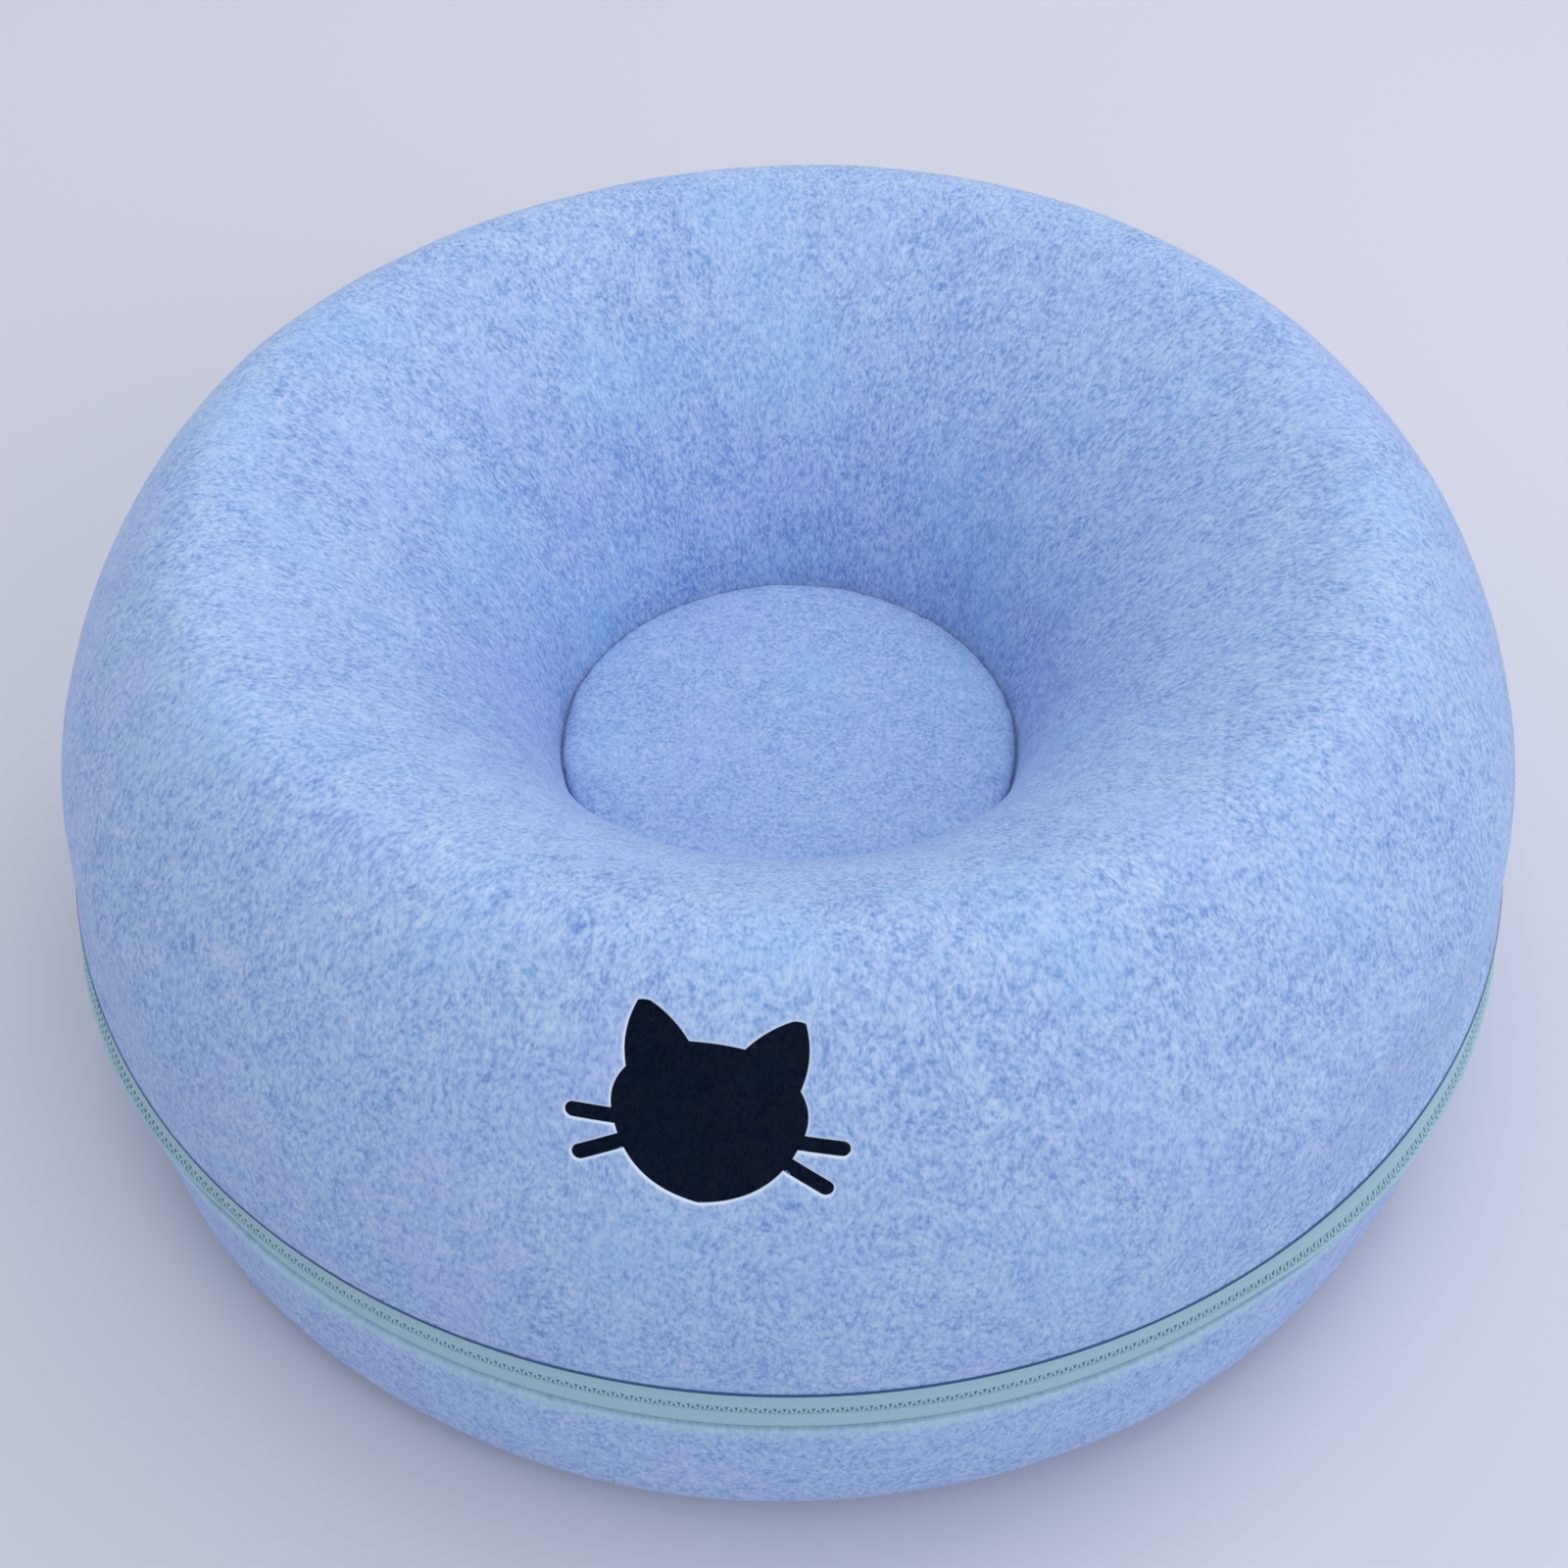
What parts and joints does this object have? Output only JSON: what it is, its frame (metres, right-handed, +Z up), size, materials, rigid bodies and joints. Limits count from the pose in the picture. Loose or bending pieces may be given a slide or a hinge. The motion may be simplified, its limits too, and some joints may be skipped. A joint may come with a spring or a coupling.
{
  "type": "cat cave bed",
  "caption": "Round felt cat bed: a ring tunnel in two zipped halves, with an entrance behind, a peephole in front and a padded well in the middle.",
  "frame": {"origin": "on the floor, under the middle of the ring", "axes": "+Z up; the peephole faces -Y, and the entrance and the hinge tab are at +Y"},
  "size_m": [0.597, 0.597, 0.26],
  "materials": {
    "felt": "thick moulded melange felt, matt, light blue",
    "pad_felt": "soft melange felt, matt, light blue",
    "tape": "woven zip tape, matt, pale teal",
    "coil": "nylon zip coil, satin, pale teal",
    "slider": "painted zinc casting, satin, pale teal"
  },
  "bodies": {
    "tray": {"tray_shell": "felt", "tray_tape": "tape", "tray_coil": "coil", "hinge_tab": "tape", "lid_tape_closed_end": "tape", "lid_coil_closed_end": "coil"},
    "lid": {"lid_shell": "felt", "lid_tape": "tape", "lid_coil": "coil"},
    "slider": {"slider_body": "slider"},
    "pull": {"slider_pull": "slider"},
    "pad": {"centre_pad": "pad_felt"}
  },
  "joints": [
    {"name": "lid_hinge", "type": "hinge", "parent": "tray", "child": "lid", "pos_m": [0, 0.2955, 0.0925], "axis": [-1, 0, 0], "range_deg": [0, 140], "deforming": ["hinge_tab", "lid_tape_closed_end"]},
    {"name": "slider_travel", "type": "hinge", "parent": "tray", "child": "slider", "pos_m": [0, 0, 0.0886], "axis": [0, 0, -1], "range_deg": [0, 336]},
    {"name": "pull_swing", "type": "hinge", "parent": "slider", "child": "pull", "pos_m": [0.04517, 0.29081, 0.0886], "axis": [0, 0, 1], "range_deg": [0, 170]},
    {"name": "pad_lift", "type": "slide", "parent": "lid", "child": "pad", "axis": [0, 0, 1], "range_m": [0, 0.16]}
  ]
}
